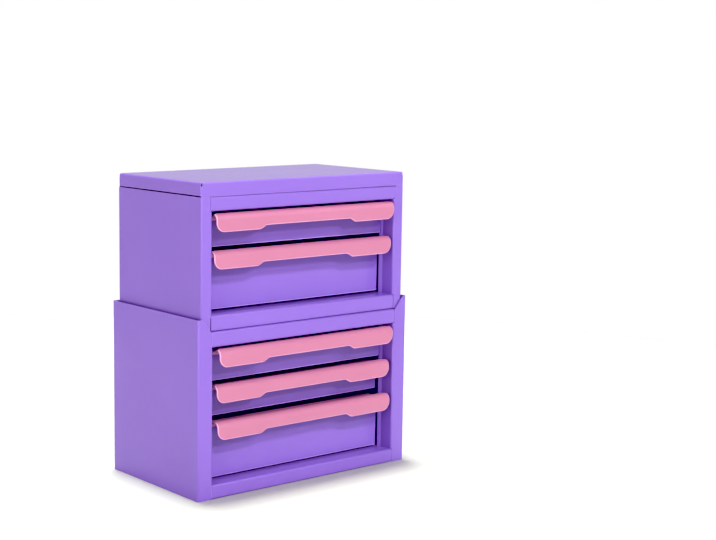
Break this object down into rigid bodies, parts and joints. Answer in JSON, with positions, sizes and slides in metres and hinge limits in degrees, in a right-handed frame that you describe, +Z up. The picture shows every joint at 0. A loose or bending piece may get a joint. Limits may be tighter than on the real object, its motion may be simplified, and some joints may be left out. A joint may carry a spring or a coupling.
{
  "type": "storage box with drawers",
  "caption": "Small steel desk storage box: a chest with drawers and a hinged lid stands in the raised rim of a wider cabinet with drawers, all with full-width pink lip pulls.",
  "frame": {"origin": "on the surface that the box stands on, under the middle of its bounding box, from the foremost pull to the cabinet's back", "axes": "+Z up, +X to the right for someone who faces the drawers, +Y to the back"},
  "size_m": [0.2, 0.116, 0.2293],
  "materials": {
    "violet_steel": "satin violet powder coat",
    "pink_pull": "satin pink moulded plastic",
    "plated_steel": "bright zinc plate"
  },
  "bodies": {
    "cabinet": {"cabinet_left_side": "violet_steel", "cabinet_right_side": "violet_steel", "cabinet_base": "violet_steel", "cabinet_back": "violet_steel", "cabinet_deck": "violet_steel", "drawer_3_left_runner": "violet_steel", "drawer_3_right_runner": "violet_steel", "drawer_4_left_runner": "violet_steel", "drawer_4_right_runner": "violet_steel", "drawer_5_left_runner": "violet_steel", "drawer_5_right_runner": "violet_steel"},
    "chest": {"chest_left_side": "violet_steel", "chest_right_side": "violet_steel", "chest_base": "violet_steel", "chest_back": "violet_steel", "chest_top_tray": "violet_steel", "left_hinge_chest_leaf": "plated_steel", "right_hinge_chest_leaf": "plated_steel", "left_hinge_pin": "plated_steel", "right_hinge_pin": "plated_steel", "drawer_1_left_runner": "violet_steel", "drawer_1_right_runner": "violet_steel", "drawer_2_left_runner": "violet_steel", "drawer_2_right_runner": "violet_steel"},
    "lid": {"lid": "violet_steel", "left_hinge_lid_leaf": "plated_steel", "right_hinge_lid_leaf": "plated_steel"},
    "drawer_1": {"drawer_1_front": "violet_steel", "drawer_1_tray": "violet_steel", "drawer_1_pull": "pink_pull"},
    "drawer_2": {"drawer_2_front": "violet_steel", "drawer_2_tray": "violet_steel", "drawer_2_pull": "pink_pull"},
    "drawer_3": {"drawer_3_front": "violet_steel", "drawer_3_tray": "violet_steel", "drawer_3_pull": "pink_pull"},
    "drawer_4": {"drawer_4_front": "violet_steel", "drawer_4_tray": "violet_steel", "drawer_4_pull": "pink_pull"},
    "drawer_5": {"drawer_5_front": "violet_steel", "drawer_5_tray": "violet_steel", "drawer_5_pull": "pink_pull"}
  },
  "joints": [
    {"name": "chest_lift", "type": "slide", "parent": "cabinet", "child": "chest", "axis": [0, 0, 1], "range_m": [0, 0.05]},
    {"name": "lid_hinge", "type": "hinge", "parent": "chest", "child": "lid", "pos_m": [0, 0.0559, 0.21894], "axis": [-1, 0, 0], "range_deg": [0, 98]},
    {"name": "drawer_1_slide", "type": "slide", "parent": "chest", "child": "drawer_1", "axis": [0, -1, 0], "range_m": [-0.0029, 0.0571]},
    {"name": "drawer_2_slide", "type": "slide", "parent": "chest", "child": "drawer_2", "axis": [0, -1, 0], "range_m": [0, 0.06]},
    {"name": "drawer_3_slide", "type": "slide", "parent": "cabinet", "child": "drawer_3", "axis": [0, -1, 0], "range_m": [-0.004, 0.056]},
    {"name": "drawer_4_slide", "type": "slide", "parent": "cabinet", "child": "drawer_4", "axis": [0, -1, 0], "range_m": [-0.0003, 0.0597]},
    {"name": "drawer_5_slide", "type": "slide", "parent": "cabinet", "child": "drawer_5", "axis": [0, -1, 0], "range_m": [-0.0016, 0.0584]}
  ]
}
